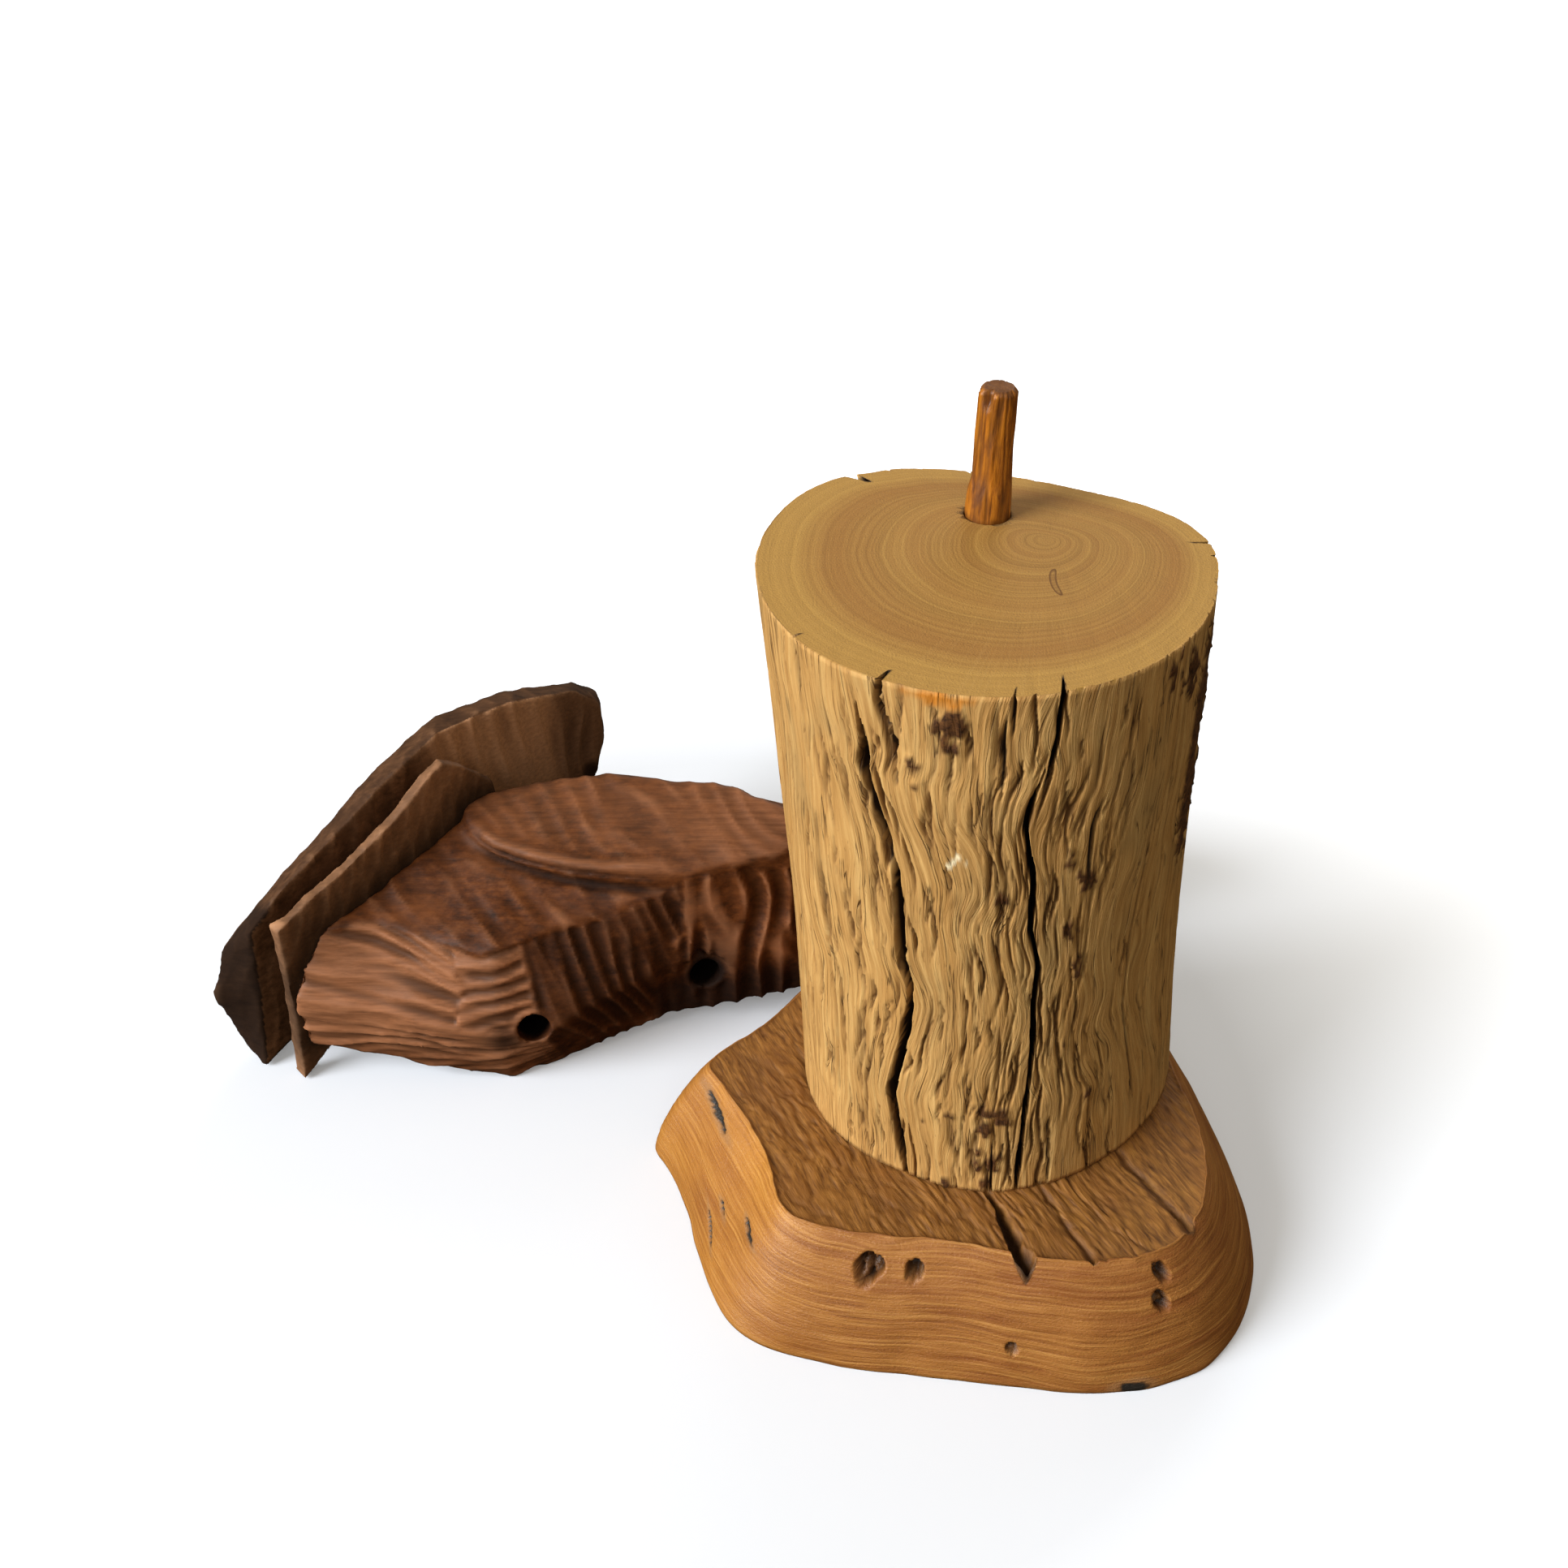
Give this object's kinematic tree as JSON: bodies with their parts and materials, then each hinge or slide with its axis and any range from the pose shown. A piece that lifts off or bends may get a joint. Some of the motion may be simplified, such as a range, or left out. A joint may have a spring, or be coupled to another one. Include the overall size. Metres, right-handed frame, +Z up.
{
  "type": "carved bird sculpture on a log stand",
  "caption": "Wooden bird carving with a folded wing and a layered raised tail, lying beside its live-edge slab and log stand with a loose whittled mounting peg.",
  "frame": {"origin": "on the flat underside of the slab, below the log post and level with the table", "axes": "+Z up out of the slab along the post; +X from the bird's tail towards its head; +Y from the slab's long front edge towards the bird"},
  "size_m": [0.349, 0.2491, 0.255],
  "materials": {
    "slab_wood": "oiled satin, rough-sawn on top",
    "log_wood": "weathered matte, sanded end grain",
    "peg_wood": "whittled satin",
    "bird_wood": "gouge-carved, waxed satin",
    "tail_wood": "gouge-carved, waxed satin",
    "screw_steel": "zinc plated"
  },
  "bodies": {
    "stand": {"base_slab": "slab_wood", "post_log": "log_wood", "base_screws": "screw_steel", "base_washers": "screw_steel"},
    "peg": {"peg": "peg_wood"},
    "bird": {"carved_body": "bird_wood", "tail_fan": "tail_wood", "tail_coverts": "tail_wood", "tail_dowels": "peg_wood"}
  },
  "joints": [
    {"name": "peg_lift", "type": "slide", "parent": "stand", "child": "peg", "axis": [0, 0, 1], "range_m": [0, 0.045]},
    {"name": "bird_lift", "type": "slide", "parent": "stand", "child": "bird", "axis": [0, 0, 1], "range_m": [0, 0.15]}
  ]
}
